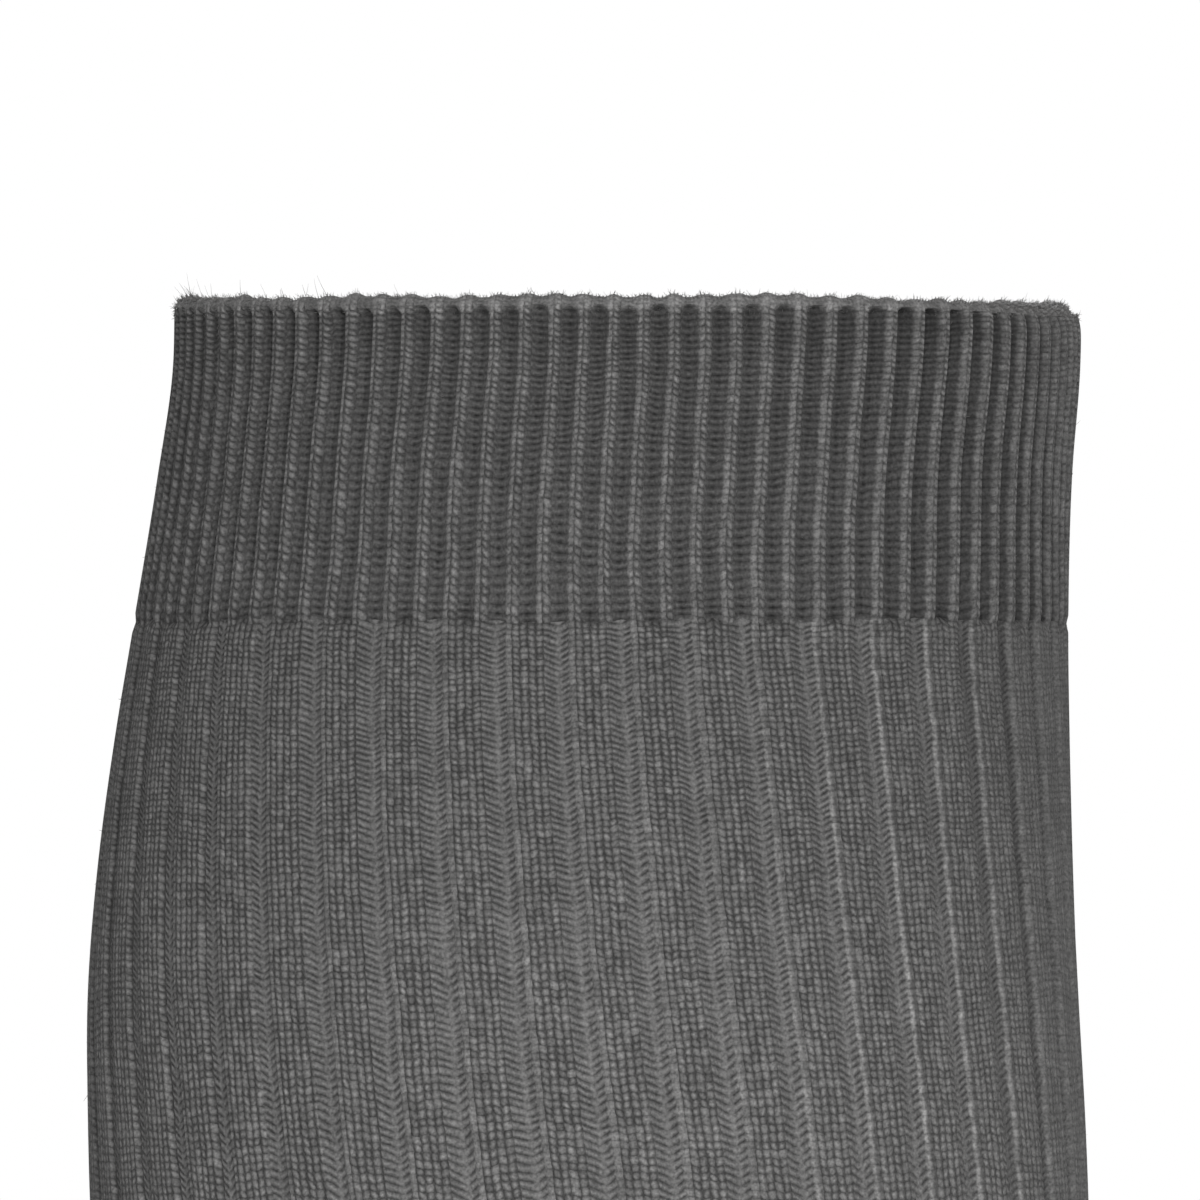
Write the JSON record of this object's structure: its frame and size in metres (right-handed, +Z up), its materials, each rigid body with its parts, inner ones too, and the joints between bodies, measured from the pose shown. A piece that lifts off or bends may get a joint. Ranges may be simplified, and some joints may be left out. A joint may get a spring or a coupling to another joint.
{
  "type": "knee-high sock",
  "caption": "Ribbed knee-high sock in its worn, hollow form, with a turned welt, heel pocket, plain sole and toe pocket.",
  "frame": {"origin": "middle of the welt's mouth, level with the top of its fold, where the leg below the knee holds the sock", "axes": "+Z up the leg, +X forwards to the toes, +Y to the wearer's left, across the foot"},
  "size_m": [0.2444, 0.103, 0.405],
  "materials": {
    "welt_knit": "matt ribbed knit, charcoal grey",
    "leg_knit": "matt ribbed knit, mid grey",
    "pocket_knit": "matt plain knit, mid grey"
  },
  "bodies": {
    "root": {"cuff": "welt_knit", "leg": "leg_knit", "ankle": "leg_knit", "heel": "pocket_knit", "foot": "leg_knit", "toe": "pocket_knit"}
  },
  "joints": []
}
